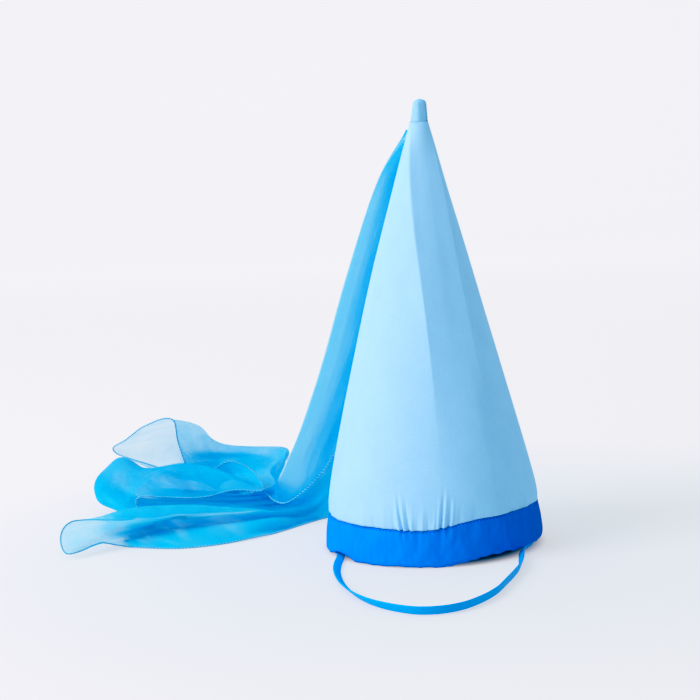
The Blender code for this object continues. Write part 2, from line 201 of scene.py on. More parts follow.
# Where the bundle's left fold hangs, as shares of the way from the tip to the foot, and
# how much of the bundle's full width and depth has opened there
HANGING = (
    HangStep(drop=0.13, left=0.21, back=0.12, width=0.38, depth=0.34),
    HangStep(drop=0.39, left=0.43, back=0.36, width=0.64, depth=0.62),
    HangStep(drop=0.66, left=0.63, back=0.60, width=0.84, depth=0.85),
    HangStep(drop=0.89, left=0.84, back=0.84, width=0.97, depth=1.00),
)

# Runs of the cloth from the foot of the hanging bundle to the bottom hem, from the side
# edge on top of the pile, over its two ridges and under it to the edge along its front.
# Each place is (left, back, up): shares of the veil's reach from the rim, its depth behind
# the axis and the height of its highest fold.
RUNS = (
    Run(0.000, (0.17, 0.32, 0.24), (0.32, 0.57, 0.29), (0.45, 0.68, 0.32), (0.53, 0.69, 0.40), (0.61, 0.66, 0.47)),
    Run(0.050, (0.20, 0.35, 0.35), (0.24, 0.67, 0.40), (0.46, 0.79, 0.42), (0.55, 0.74, 0.59), (0.64, 0.68, 0.72)),
    Run(0.100, (0.23, 0.39, 0.48), (0.21, 0.79, 0.52), (0.49, 0.90, 0.56), (0.56, 0.79, 0.80), (0.65, 0.61, 0.99)),
    Run(0.150, (0.24, 0.42, 0.51), (0.23, 0.86, 0.47), (0.50, 0.96, 0.52), (0.63, 0.85, 0.78), (0.78, 0.69, 0.89)),
    Run(0.200, (0.23, 0.44, 0.45), (0.28, 0.89, 0.36), (0.53, 1.00, 0.35), (0.74, 0.91, 0.59), (0.89, 0.81, 0.68)),
    Run(0.250, (0.20, 0.42, 0.38), (0.34, 0.86, 0.26), (0.57, 0.98, 0.21), (0.78, 0.96, 0.31), (0.95, 0.89, 0.52)),
    Run(0.290, (0.18, 0.40, 0.31), (0.38, 0.81, 0.20), (0.57, 0.89, 0.18), (0.68, 0.86, 0.21), (0.78, 0.81, 0.40)),
    Run(0.320, (0.16, 0.39, 0.26), (0.35, 0.74, 0.18), (0.53, 0.80, 0.16), (0.59, 0.75, 0.26), (0.62, 0.69, 0.33)),
    Run(0.350, (0.14, 0.38, 0.22), (0.32, 0.68, 0.16), (0.49, 0.72, 0.16), (0.50, 0.64, 0.27), (0.50, 0.58, 0.45)),
    Run(0.385, (0.15, 0.39, 0.20), (0.32, 0.66, 0.14), (0.47, 0.66, 0.20), (0.44, 0.61, 0.38), (0.41, 0.57, 0.54)),
    Run(0.420, (0.18, 0.41, 0.20), (0.35, 0.67, 0.13), (0.50, 0.67, 0.16), (0.41, 0.58, 0.36), (0.32, 0.51, 0.47)),
    Run(0.450, (0.21, 0.43, 0.22), (0.41, 0.71, 0.12), (0.55, 0.69, 0.14), (0.40, 0.50, 0.40), (0.27, 0.42, 0.31)),
    Run(0.490, (0.24, 0.45, 0.26), (0.53, 0.76, 0.09), (0.62, 0.73, 0.14), (0.50, 0.53, 0.52), (0.38, 0.40, 0.33)),
    Run(0.530, (0.27, 0.47, 0.28), (0.64, 0.81, 0.09), (0.71, 0.75, 0.32), (0.61, 0.56, 0.54), (0.50, 0.34, 0.32)),
    Run(0.570, (0.27, 0.48, 0.26), (0.71, 0.82, 0.09), (0.81, 0.76, 0.39), (0.73, 0.53, 0.44), (0.65, 0.33, 0.33)),
    Run(0.600, (0.25, 0.48, 0.22), (0.76, 0.81, 0.09), (0.91, 0.78, 0.51), (0.80, 0.49, 0.32), (0.75, 0.36, 0.31)),
    Run(0.640, (0.22, 0.47, 0.19), (0.75, 0.75, 0.05), (0.99, 0.69, 0.32), (0.86, 0.52, 0.16), (0.77, 0.40, 0.18)),
    Run(0.690, (0.18, 0.46, 0.15), (0.67, 0.66, 0.05), (0.94, 0.60, 0.13), (0.85, 0.49, 0.09), (0.78, 0.38, 0.08)),
    Run(0.750, (0.15, 0.45, 0.13), (0.49, 0.56, 0.06), (0.71, 0.50, 0.05), (0.81, 0.40, 0.09), (0.85, 0.29, 0.14)),
    Run(0.820, (0.11, 0.44, 0.14), (0.32, 0.43, 0.11), (0.56, 0.33, 0.16), (0.77, 0.25, 0.25), (0.97, 0.17, 0.21)),
    Run(0.870, (0.08, 0.43, 0.15), (0.28, 0.31, 0.21), (0.54, 0.19, 0.33), (0.77, 0.15, 0.32), (0.99, 0.04, 0.16)),
    Run(0.905, (0.06, 0.42, 0.15), (0.28, 0.22, 0.22), (0.55, 0.08, 0.26), (0.77, 0.04, 0.21), (0.94, -0.08, 0.06)),
    Run(0.935, (0.05, 0.42, 0.11), (0.27, 0.24, 0.12), (0.53, 0.16, 0.12), (0.71, 0.13, 0.11), (0.86, 0.02, 0.07)),
    Run(0.965, (0.04, 0.41, 0.06), (0.26, 0.18, 0.09), (0.52, 0.08, 0.09), (0.69, 0.08, 0.07), (0.84, 0.07, 0.05)),
    Run(1.000, (0.02, 0.41, 0.01), (0.26, 0.15, 0.01), (0.48, 0.03, 0.01), (0.67, 0.04, 0.01), (0.80, 0.10, 0.01)),
)

# The strap's route from its sewn end inside the band's left side, under the rim, round
# in front of the hat and back to the right side: metres from the hat's axis. Its lean is in
# degrees: 0 stands on edge and 90 lies flat.
STRAP_ROUTE = (
    StrapPoint(-0.0810, -0.0060, 0.0150, 0),
    StrapPoint(-0.0812, -0.0100, 0.0080, 10),
    StrapPoint(-0.0805, -0.0150, 0.0035, 50),
    StrapPoint(-0.0785, -0.0230, 0.0018, 85),
    StrapPoint(-0.0750, -0.0360, 0.0016, 85),
    StrapPoint(-0.0745, -0.0500, 0.0016, 80),
    StrapPoint(-0.0755, -0.0720, 0.0016, 70),
    StrapPoint(-0.0750, -0.0980, 0.0016, 62),
    StrapPoint(-0.0710, -0.1290, 0.0016, 56),
    StrapPoint(-0.0645, -0.1550, 0.0017, 50),
    StrapPoint(-0.0570, -0.1760, 0.0020, 42),
    StrapPoint(-0.0480, -0.1930, 0.0023, 34),
    StrapPoint(-0.0370, -0.2070, 0.0026, 26),
    StrapPoint(-0.0240, -0.2180, 0.0028, 20),
    StrapPoint(-0.0110, -0.2240, 0.0030, 16),
    StrapPoint(0.0040, -0.2230, 0.0030, 14),
    StrapPoint(0.0180, -0.2150, 0.0030, 14),
    StrapPoint(0.0290, -0.2020, 0.0030, 14),
    StrapPoint(0.0380, -0.1870, 0.0030, 14),
    StrapPoint(0.0450, -0.1710, 0.0030, 14),
    StrapPoint(0.0520, -0.1480, 0.0030, 12),
    StrapPoint(0.0590, -0.1240, 0.0030, 12),
    StrapPoint(0.0640, -0.1030, 0.0030, 20),
    StrapPoint(0.0665, -0.0780, 0.0028, 40),
    StrapPoint(0.0680, -0.0560, 0.0026, 40),
    StrapPoint(0.0715, -0.0400, 0.0024, 30),
    StrapPoint(0.0765, -0.0270, 0.0028, 20),
    StrapPoint(0.0800, -0.0160, 0.0060, 10),
    StrapPoint(0.0812, -0.0090, 0.0110, 0),
    StrapPoint(0.0812, -0.0040, 0.0170, 0),
)

# The share of a face that the veil's threads cover: in the hanging layers, in the lying
# ones, and round places on the flat cloth where it lies in one loose layer or in many.
# Places and reaches are shares of the cloth's width and length, and so is the cover.
HANGING_COVER = 0.10
HANGING_EDGE_COVER = 0.70
LYING_COVER = 0.50
COVER_SPOTS = (
    CoverSpot(0.13, 0.66, 0.22, 0.14, 0.3, 0.28),
    CoverSpot(0.02, 0.80, 0.18, 0.16, 0.4, 0.20),
    CoverSpot(0.18, 0.92, 0.24, 0.20, 0.5, 0.16),
    CoverSpot(0.40, 0.00, 1.20, 0.11, 0.2, 0.28),
    CoverSpot(0.60, 0.48, 0.11, 0.11, 0.5, 0.88),
    CoverSpot(0.22, 0.66, 0.055, 0.14, 0.5, 0.90),
    CoverSpot(0.64, 0.80, 0.050, 0.11, 0.3, 0.30),
    CoverSpot(0.565, 0.76, 0.035, 0.08, 0.3, 0.85),
    CoverSpot(0.58, 0.96, 0.09, 0.13, 0.4, 0.28),
    CoverSpot(0.72, 0.74, 0.11, 0.26, 0.6, 0.85),
    CoverSpot(0.85, 0.46, 0.26, 0.13, 0.6, 0.95),
    CoverSpot(0.96, 0.72, 0.070, 0.26, 0.8, 0.78),
    CoverSpot(0.86, 0.74, 0.045, 0.20, 0.6, 0.50),
    CoverSpot(0.88, 0.98, 0.20, 0.11, 0.5, 0.22),
)

# Where the side hems start, and where the cloth stops hanging and lies: shares of its length
HEM_START = 0.12
LYING_FROM = 0.38
LYING_FULL = 0.50

# The sharp fold along the front roll: shares of the cloth's width and length, and metres
FOLD_START = (0.885, 0.60)
FOLD_END = (0.962, 0.95)
FOLD_WIDTH = 0.008
FOLD_DEPTH = 0.0050

# The thread wound round the hem, the elastic, and the stitches as their length and width
SERGE_PITCH = 0.0030
SERGE_STEP = 0.0004
SERGE_RADIUS = 0.00026
STRAP_WIDTH = 0.0065
STRAP_THICKNESS = 0.0015
STRAP_STEP = 0.0020
SEAM_STITCH = (0.0019, 0.0011)
NUB_TACK = (0.0015, 0.0007)
NUB_TACKS = 6
NUB_TACK_ANGLE = math.radians(68)
NUB_RING_STITCH = (0.0012, 0.0004)
NUB_RING_STITCHES = 24


def thickness(name, description, default, least):
    return FloatProperty(name=name, description=description, default=default, min=least, unit="LENGTH")


def tone(name, description, default):
    return FloatVectorProperty(name=name, description=description, default=default, subtype="COLOR", size=3)


class HenninSizes(bpy.types.PropertyGroup):
    """Sizes of the cloth that can be set by hand"""

    crown_wall: thickness("Crown cloth", "Thickness of the stiffened linen", 0.0020, 0.0005)
    band_wall: thickness("Band cloth", "Thickness of the folded band", 0.0026, 0.0005)
    veil_wall: thickness("Chiffon", "Thickness of the veil", 0.0003, 0.0001)
    hem_radius: thickness("Hem", "Radius of the veil's rolled hem", 0.0005, 0.0002)
    stitch_spacing: thickness("Stitches", "Distance between the stitches of the band's seam", 0.0030, 0.001)


class HenninColours(bpy.types.PropertyGroup):
    """Colours of the cloths and threads"""

    linen: tone("Linen", "The crown's pale blue", (0.38, 0.68, 1.0))
    band: tone("Band", "The band's bright blue", (0.0, 0.20, 0.90))
    tip: tone("Nub", "The gathered nub's blue", (0.31, 0.62, 0.98))
    chiffon: tone("Chiffon", "The veil's blue", (0.05, 0.68, 1.0))
    elastic: tone("Elastic", "The strap's blue", (0.0, 0.38, 0.95))
    hem: tone("Hem", "The cloth rolled into the veil's hem", (0.02, 0.33, 0.68))
    serging: tone("Serging", "The thread wound round the veil's hem", (0.45, 0.82, 1.0))
    thread: tone("Thread", "The seams' sewing thread", (0.0, 0.06, 0.50))


def mix(a, b, share):
    return a + (b - a) * share


def ease(low, high, value):
    share = min(1, max(0, (value - low) / (high - low)))
    return share * share * (3 - 2 * share)


def turned_from(angle, centre):
    """The angle from a centre, between minus and plus half a turn."""
    return math.remainder(angle - centre, 2 * math.pi)


def degrees_from(angle, centre):
    """How far an angle lies from a centre in degrees, in degrees too."""
    return math.degrees(turned_from(angle, math.radians(centre)))


def around(radius, angle, height, shift=0):
    """A point at an angle to the right of the hat's front."""
    return HAT_AXIS + Vector((shift + radius * math.sin(angle), -radius * math.cos(angle), height))


def spline(points, at):
    """A smooth curve through points, read at a number of steps along them."""
    step = min(int(at), len(points) - 2)
    share = at - step
    here, there = points[step], points[step + 1]
    before = points[step - 1] if step > 0 else 2 * here - there
    after = points[step + 2] if step + 2 < len(points) else 2 * there - here
    bend = 2 * before - 5 * here + 4 * there - after
    twist = -before + 3 * here - 3 * there + after
    return here + 0.5 * share * (there - before + share * (bend + share * twist))


def table_step(rows, across):
    """Where a share of the cloth's width lies among a table's rows."""
    for step, (here, there) in enumerate(zip(rows, rows[1:])):
        if across <= there.across:
            return step + (across - here.across) / (there.across - here.across)
    return len(rows) - 1


def rim_lift(angle):
    """How far the rim stands off the floor: propped on the right, arched over the strap."""
    degrees = degrees_from(angle, 60)
    prop = PROP_LIFT * ease(-58, -28, degrees) * (1 - ease(30, 58, degrees))
    off = turned_from(angle, LEFT_EXIT_ANGLE) / STRAP_LIFT_HALF_WIDTH
    arch = STRAP_LIFT * math.cos(math.pi / 2 * off) ** 2 if abs(off) < 1 else 0
    return max(prop, arch)


def band_top(angle):
    """The height of the seam between band and crown."""
    degrees = degrees_from(angle, 60)
    raised = PROP_LIFT * ease(-66, -30, degrees) * (1 - ease(40, 75, degrees))
    dip = BAND_DIP * math.exp(-(degrees_from(angle, -8) / 16) ** 2)
    return BAND_HEIGHT + raised - dip


def facet_share(angle, facet, share):
    """The share of the round radius that a flat between two creases leaves at an angle."""
    left = mix(facet.left_low, facet.left_high, share ** 4)
    right = mix(facet.right_low, facet.right_high, share ** 4)
    middle = math.radians((left + right) / 2)
    half = math.radians((right - left) / 2)
    off = turned_from(angle, middle)
    if abs(off) >= half:
        return 1
    return math.cos(half) / math.cos(off)


def crown_radius(share, angle):
    """The crown's outer radius at a share of its height."""
    low = RIM_RADIUS - BAND_TAPER + SEAM_PINCH
    high = TIP_RADIUS + 0.0006
    radius = mix(low, high, share) + CROWN_BELLY * 4 * share * (1 - share)
    for crease in CREASES:
        strength = ease(crease.fade_in, crease.low, share) * (1 - ease(crease.high, crease.fade_out, share))
        centre = mix(crease.angle_low, crease.angle_high, share ** 4)
        off = degrees_from(angle, centre) / crease.width
        radius *= 1 + crease.ridge * strength / (1 + off * off)
    for facet in FACETS:
        strength = ease(facet.fade_in, facet.low, share) * (1 - ease(facet.high, facet.fade_out, share))
        radius *= mix(1, facet_share(angle, facet, share), facet.depth * strength)
    off = degrees_from(angle, BACK_SEAM_ANGLE) / BACK_SEAM_WIDTH
    radius -= BACK_SEAM_DEPTH * math.exp(-off * off)
    above = share * (CROWN_TOP - BAND_HEIGHT)
    radius -= SEAM_PINCH * math.exp(-above / SEAM_PINCH_HEIGHT)
    for pucker in PUCKERS:
        if share < pucker.reach:
            centre = pucker.angle + pucker.lean * share / pucker.reach
            off = degrees_from(angle, centre) / pucker.width
            if abs(off) < 3:
                fade = (1 - share / pucker.reach) ** 1.2
                radius += PUCKER_STRENGTH * pucker.depth * math.exp(-off * off) * fade
    return radius


def crown_point(share, angle, inset=0):
    height = mix(band_top(angle) + FIT_GAP, CROWN_TOP, share)
    shift = -CROWN_BOW * math.sin(math.pi * share)
    return around(crown_radius(share, angle) - inset, angle, height, shift)


def new_material(name):
    """A material with its shader, and a helper that adds a linked node to it."""
    material = bpy.data.materials.new(name)
    material.use_nodes = True
    tree = material.node_tree

    def add(kind, inputs=None, **settings):
        node = tree.nodes.new(kind)
        for key, value in settings.items():
            setattr(node, key, value)
        for key, value in (inputs or {}).items():
            if isinstance(value, bpy.types.NodeSocket):
                tree.links.new(value, node.inputs[key])
            else:
                node.inputs[key].default_value = value
        return node

    return material, tree.nodes["Principled BSDF"], add, tree


def two_tones(add, factor, dark, light):
    """A colour that runs from a dark to a light tone as a factor does."""
    return add(
        "ShaderNodeMix", {"Factor": factor, "A": (*dark, 1), "B": (*light, 1)}, data_type="RGBA",
    ).outputs["Result"]


def tinted(add, colour, by):
    """A colour multiplied by another."""
    return add(
        "ShaderNodeMix", {"Factor": 1, "A": colour, "B": by}, data_type="RGBA", blend_type="MULTIPLY",
    ).outputs["Result"]


def grain(add, place, scale, detail, roughness=0.5):
    """The grey of a noise at a place."""
    return add(
        "ShaderNodeTexNoise", {"Vector": place, "Scale": scale, "Detail": detail, "Roughness": roughness},
    ).outputs["Fac"]


def stretched(add, place, scale):
    return add("ShaderNodeMapping", {"Vector": place, "Scale": scale}).outputs["Vector"]


def worked(add, operation, a, b, **settings):
    """Two values, added or worked out by another operation."""
    return add("ShaderNodeMath", {0: a, 1: b}, operation=operation, **settings).outputs["Value"]


def ranged(add, value, low, high, least=0, most=1, kind="LINEAR"):
    """A value between low and high, spread from least to most."""
    return add("ShaderNodeMapRange", {
        "Value": value, "From Min": low, "From Max": high, "To Min": least, "To Max": most,
    }, interpolation_type=kind).outputs["Result"]


def set_shader(tree, shader, colour, roughness, specular=0.5):
    tree.links.new(colour, shader.inputs["Base Color"])
    shader.inputs["Roughness"].default_value = roughness
    shader.inputs["Specular IOR Level"].default_value = specular


def give_bump(add, tree, shader, height, strength, distance):
    """Raises a shader's surface by a pattern, and gives the normal that this makes."""
    bump = add("ShaderNodeBump", {"Height": height, "Strength": strength, "Distance": distance})
    tree.links.new(bump.outputs["Normal"], shader.inputs["Normal"])
    return bump.outputs["Normal"]


def shaded(colour, by):
    return tuple(min(1, part * by) for part in colour)


def linen_material(colour):
    """Stiffened plain-weave linen: slubby threads both ways and a faint mottle."""
    material, shader, add, tree = new_material("stiffened_linen")
    place = add("ShaderNodeTexCoord").outputs["UV"]
    warp = grain(add, stretched(add, place, (1, 0.06, 1)), 1500, 3, 0.7)
    weft = grain(add, stretched(add, place, (0.06, 1, 1)), 1500, 3, 0.7)
    threads = worked(add, "ADD", warp, weft)
    tone = worked(add, "ADD", threads, grain(add, place, 35, 4, 0.6))
    pale = two_tones(add, ranged(add, tone, 1.1, 1.9), shaded(colour, 0.93), shaded(colour, 1.05))
    set_shader(tree, shader, pale, 0.85, 0.2)
    give_bump(add, tree, shader, threads, 0.25, 0.0003)
    return material


def satin_material(colour):
    """The band's smooth bright cloth: fine upright ribs and soft wrinkles, with a painted highlight on the side
    that faces the window lamp and painted shade on the side turned from it.
    """
    material, shader, add, tree = new_material("band_satin")
    place = add("ShaderNodeTexCoord").outputs["UV"]
    ribs = grain(add, stretched(add, place, (1, 0.04, 1)), 1200, 2)
    tone = worked(add, "ADD", ribs, grain(add, place, 60, 4))
    blue = two_tones(add, ranged(add, tone, 0.7, 1.3), shaded(colour, 0.92), shaded(colour, 1.06))
    # Painted light: the band's colour is lighter on faces turned towards the window lamp and darker on faces turned
    # away from it
    facing = add("ShaderNodeNewGeometry").outputs["Normal"]
    lit = add("ShaderNodeVectorMath", {0: facing, 1: SATIN_PAINTED_LIGHT_FROM}, operation="DOT_PRODUCT")
    painted_light_and_shade = two_tones(add, ranged(add, lit.outputs["Value"], -0.7, 0.9), SATIN_PAINTED_SHADE, SATIN_PAINTED_HIGHLIGHT)
    set_shader(tree, shader, tinted(add, blue, painted_light_and_shade), 0.6, 0.08)
    give_bump(add, tree, shader, ribs, 0.15, 0.0002)
    return material


def nub_material(colour):
    """Gathered linen with painted shade: its colour is darker where the bumped folds sink."""
    material, shader, add, tree = new_material("gathered_linen")
    place = add("ShaderNodeTexCoord").outputs["Object"]
    folds = grain(add, stretched(add, place, (1, 1, 0.15)), 900, 4)
    # Painted shade: the colour follows the bump's pattern and is darker in the folds' hollows
    set_shader(tree, shader, two_tones(add, folds, shaded(colour, 0.80), shaded(colour, 1.15)), 0.8)
    give_bump(add, tree, shader, folds, 0.5, 0.0004)
    return material


def veil_cover(add, place, pleats, cloud):
    """The share of a face that the threads cover, from its place on the flat cloth."""
    flat = add("ShaderNodeSeparateXYZ", {"Vector": place}).outputs
    along = worked(add, "DIVIDE", flat["Y"], VEIL_FLAT_LENGTH)
    width = ranged(add, along, 0, 1, VEIL_TOP_WIDTH, VEIL_FLAT_WIDTH)
    across = worked(add, "ADD", worked(add, "DIVIDE", flat["X"], width), 0.5)
    shares = add("ShaderNodeCombineXYZ", {"X": across, "Y": along}).outputs["Vector"]
    cover = ranged(add, across, 0.64, 0.78, HANGING_COVER, HANGING_EDGE_COVER)
    cover = ranged(add, ranged(add, along, LYING_FROM, LYING_FULL), 0, 1, cover, LYING_COVER)
    for spot in COVER_SPOTS:
        middle = (spot.across, spot.along, 0)
        per_reach = (1 / spot.reach_across, 1 / spot.reach_along, 0)
        away = add("ShaderNodeVectorMath", {0: shares, 1: middle}, operation="SUBTRACT").outputs["Vector"]
        away = add("ShaderNodeVectorMath", {0: away, 1: per_reach}, operation="MULTIPLY").outputs["Vector"]
        away = add("ShaderNodeVectorMath", {0: away}, operation="LENGTH").outputs["Value"]
        cover = ranged(add, away, spot.core, 1, spot.cover, cover, "SMOOTHSTEP")
    for pattern, spread in ((pleats, 0.25), (cloud, 0.20)):
        uneven = ranged(add, pattern, 0.3, 0.7, 1 - spread, 1 + spread)
        cover = worked(add, "MULTIPLY", cover, uneven, use_clamp=True)
    return cover


def chiffon_material(colour):
    """Sheer chiffon: thread that covers a share of each face, and tinted light between it."""
    material, shader, add, tree = new_material("sheer_chiffon")
    place = add("ShaderNodeTexCoord").outputs["UV"]
    crepe = grain(add, place, 900, 3, 0.7)
    cloud = grain(add, place, 22, 4)
    pleats = grain(add, stretched(add, place, (1, 0.15, 1)), 110, 3)
    blue = two_tones(add, cloud, shaded(colour, 0.90), shaded(colour, 1.10))
    set_shader(tree, shader, blue, 0.5, 0.28)
    normal = give_bump(add, tree, shader, crepe, 0.2, 0.0002)
    through = add("ShaderNodeBsdfTranslucent", {"Color": blue, "Normal": normal})
    cloth = add("ShaderNodeMixShader", {0: 0.4, 1: shader.outputs["BSDF"], 2: through.outputs["BSDF"]})
    holes = add("ShaderNodeBsdfTransparent", {"Color": (0.90, 0.97, 1, 1)})
    cover = veil_cover(add, place, pleats, cloud)
    both = add("ShaderNodeMixShader", {0: cover, 1: holes.outputs["BSDF"], 2: cloth.outputs["Shader"]})
    tree.links.new(both.outputs["Shader"], tree.nodes["Material Output"].inputs["Surface"])
    return material


def thread_material(name, colour, roughness):
    """Twisted sewing thread."""
    material, shader, add, tree = new_material(name)
    twist = grain(add, add("ShaderNodeTexCoord").outputs["Object"], 2500, 2)
    set_shader(tree, shader, two_tones(add, twist, shaded(colour, 0.75), shaded(colour, 1.25)), roughness)
    return material


def elastic_material(colour):
    """Covered elastic: fine ribs across the strap and a soft gloss along it."""
    material, shader, add, tree = new_material("covered_elastic")
    weave = grain(add, add("ShaderNodeTexCoord").outputs["Object"], 1800, 2)
    set_shader(tree, shader, two_tones(add, weave, shaded(colour, 0.88), shaded(colour, 1.12)), 0.5, 0.2)
    give_bump(add, tree, shader, weave, 0.3, 0.0002)
    return material


def object_from(bm, name, material):
    """A smooth object at the origin from a bmesh, which is freed."""
    mesh = bpy.data.meshes.new(name)
    bm.to_mesh(mesh)
    bm.free()
    mesh.shade_smooth()
    mesh.materials.append(material)
    thing = bpy.data.objects.new(name, mesh)
    bpy.context.scene.collection.objects.link(thing)
    return thing


def baked(thing):
    """Applies an object's modifiers, or makes a curve a mesh, and keeps its name."""
    graph = bpy.context.evaluated_depsgraph_get()
    mesh = bpy.data.meshes.new_from_object(thing.evaluated_get(graph))
    name = thing.name
    material = thing.data.materials[0]
    bpy.data.objects.remove(thing)
    mesh.materials.clear()
    mesh.materials.append(material)
    made = bpy.data.objects.new(name, mesh)
    bpy.context.scene.collection.objects.link(made)
    return made


def give_uv(bm, place):
    """Gives each corner of the faces a UV place, from the point that it belongs to."""
    layer = bm.loops.layers.uv.new("UVMap")
    for face in bm.faces:
        for corner in face.loops:
            corner[layer].uv = place(corner.vert)


def open_ring(sides, cuts):
    """An open cylinder 1 m high round the origin, cut into rings."""
    bm = bmesh.new()
    bmesh.ops.create_cone(bm, segments=sides, radius1=1, radius2=1, depth=1, cap_ends=False)
    upright = [edge for edge in bm.edges if abs(edge.verts[0].co.z - edge.verts[1].co.z) > 0.5]
    bmesh.ops.subdivide_edges(bm, edges=upright, cuts=cuts, use_grid_fill=True)
    return bm


def with_wall(thing, thick, offset):
    """The object with a wall's thickness, inwards for an offset of -1 and both ways for 0."""
    wall = thing.modifiers.new("cloth", "SOLIDIFY")
    wall.thickness = thick
    wall.offset = offset
    return baked(thing)


def make_crown(sizes, colours):
    """An open cylinder, cut into rings and moved point by point to the cone's shape."""
    bm = open_ring(sides=450, cuts=84)
    places = {}
    for point in bm.verts:
        angle = math.atan2(point.co.x, -point.co.y)
        angle -= FRONT_CROWDING * math.sin(angle)
        share = point.co.z + 0.5
        share = mix(share, share * share, 0.6)
        ripple = noise.noise(Vector((math.sin(angle) * 1.5, math.cos(angle) * 1.5, share * 4)))
        inset = -0.0005 * ripple * ease(0, 0.1, share) * (1 - ease(0.8, 1, share))
        point.co = crown_point(share, angle, inset)
        places[point] = (angle * RIM_RADIUS, share * CROWN_TOP)
    give_uv(bm, lambda point: places[point])
    bmesh.ops.recalc_face_normals(bm, faces=bm.faces[:])
    crown = object_from(bm, "linen_cone", linen_material(colours.linen))
    crown = with_wall(crown, sizes.crown_wall, -1)
    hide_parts("crown")
    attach(crown, BODY)
    return crown


class HENNIN_OT_crown(bpy.types.Operator):
    """Build the cone of stiffened linen"""

    bl_idname = "hennin.crown"
    bl_label = "Linen cone"

    def execute(self, context):
        make_crown(context.scene.hennin_sizes, context.scene.hennin_colours)
        return {"FINISHED"}


def band_offset(across, angle):
    """Small soft wrinkles of the band: more of them near its lower edge and by the gathers."""
    wave = noise.noise(Vector((math.sin(angle) * 9, math.cos(angle) * 9, across * 1.5)))
    fine = noise.noise(Vector((math.sin(angle) * 30, math.cos(angle) * 30, across * 4)))
    near_seam = ease(0.6, 1, across)
    gathers = 0
    for pucker in PUCKERS:
        off = degrees_from(angle, pucker.angle) / pucker.width
        if abs(off) < 3:
            gathers += pucker.depth * math.exp(-off * off)
    return 0.0007 * wave + 0.00035 * fine + 0.7 * gathers * near_seam


def hem_wave(angle):
    """The band's lower edge, a little uneven where the cloth is turned in."""
    wide = abs(noise.noise(Vector((math.sin(angle) * 7, math.cos(angle) * 7, 11))))
    fine = abs(noise.noise(Vector((math.sin(angle) * 26, math.cos(angle) * 26, 4))))
    return 0.0016 * wide + 0.0007 * fine


def make_band(sizes, colours):
    """The folded strip: a flat ring of cloth turned up outside, over a rounded lower edge."""
    bm = open_ring(sides=360, cuts=22)
    places = {}
    for point in bm.verts:
        angle = math.atan2(point.co.x, -point.co.y)
        across = point.co.z + 0.5
        low, high = rim_lift(angle) + hem_wave(angle), band_top(angle)
        lower = 1 - ease(0, 0.10, across)
        upper = ease(0.94, 1, across)
        belly = 0.0005 * math.sin(math.pi * across)
        radius = mix(RIM_RADIUS, RIM_RADIUS - BAND_TAPER, across) + belly
        radius += band_offset(across, angle) * ease(0, 0.12, across) * (1 - 0.5 * upper)
        radius -= 0.0011 * lower * lower + 0.0009 * upper * upper
        point.co = around(radius, angle, mix(low, high, across))
        places[point] = (angle * RIM_RADIUS, across * BAND_HEIGHT)
    give_uv(bm, lambda point: places[point])
    bmesh.ops.recalc_face_normals(bm, faces=bm.faces[:])
    band = object_from(bm, "satin_band", satin_material(colours.band))
    band = with_wall(band, sizes.band_wall, -1)
    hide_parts("brim_band")
    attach(band, BODY)
    return band


class HENNIN_OT_band(bpy.types.Operator):
    """Build the satin band round the rim"""

    bl_idname = "hennin.band"
    bl_label = "Satin band"

    def execute(self, context):
        make_band(context.scene.hennin_sizes, context.scene.hennin_colours)
        return {"FINISHED"}


def ways(angle):
    """The ways out from the hat's axis and along its rim."""
    out = Vector((math.sin(angle), -math.cos(angle), 0))
    return out, Vector((math.cos(angle), math.sin(angle), 0))


def add_stitch(bm, middle, along, out, length, width):
    """One stitch: a small long bead of thread that lies on the cloth."""
    side = along.cross(out)
    turn = Matrix((along, side, out)).transposed().to_4x4()
    shape = Matrix.Diagonal((length / 2, width / 2, width / 2, 1))
    bmesh.ops.create_uvsphere(
        bm, u_segments=6, v_segments=5, radius=1, matrix=Matrix.Translation(middle) @ turn @ shape,
    )


def make_seam_stitches(sizes, colours):
    """The row of stitches that holds the band's upper edge to the crown."""
    count = round(2 * math.pi * RIM_RADIUS / sizes.stitch_spacing)
    bm = bmesh.new()
    for step in range(count):
        angle = 2 * math.pi * step / count
        height = band_top(angle) - 0.0014
        across = (height - rim_lift(angle)) / (band_top(angle) - rim_lift(angle))
        radius = mix(RIM_RADIUS, RIM_RADIUS - BAND_TAPER, across) + 0.0005 * math.sin(math.pi * across)
        radius += band_offset(across, angle)
        out, along = ways(angle)
        add_stitch(bm, around(radius - 0.0004, angle, height), along, out, *SEAM_STITCH)
    stitches = object_from(bm, "seam_stitches", thread_material("seam_thread", colours.thread, 0.6))
    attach(stitches, BODY)
    return stitches


def make_nub_stitches(colours):
    """Dark tacking stitches up the right side of the nub and fine ones round its lower edge."""
    bm = bmesh.new()
    out, _ = ways(NUB_TACK_ANGLE)
    for step in range(NUB_TACKS):
        share = 0.05 + 0.13 * step
        height = mix(CROWN_TOP, HAT_HEIGHT, share)
        radius = TIP_RADIUS * mix(1, TIP_TOP_SHARE, share) + 0.0001
        middle = around(radius, NUB_TACK_ANGLE, height, TIP_LEAN * share)
        add_stitch(bm, middle, Vector((0, 0, 1)), out, *NUB_TACK)
    for step in range(NUB_RING_STITCHES):
        angle = 2 * math.pi * step / NUB_RING_STITCHES
        out, along = ways(angle)
        add_stitch(bm, around(nub_radius(0, angle), angle, CROWN_TOP), along, out, *NUB_RING_STITCH)
    stitches = object_from(bm, "nub_stitches", thread_material("nub_thread", (0.03, 0.10, 0.16), 0.7))
    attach(stitches, BODY)
    return stitches


class HENNIN_OT_stitches(bpy.types.Operator):
    """Sew the band's seam and the nub"""

    bl_idname = "hennin.stitches"
    bl_label = "Stitches"

    def execute(self, context):
        make_seam_stitches(context.scene.hennin_sizes, context.scene.hennin_colours)
        make_nub_stitches(context.scene.hennin_colours)
        return {"FINISHED"}


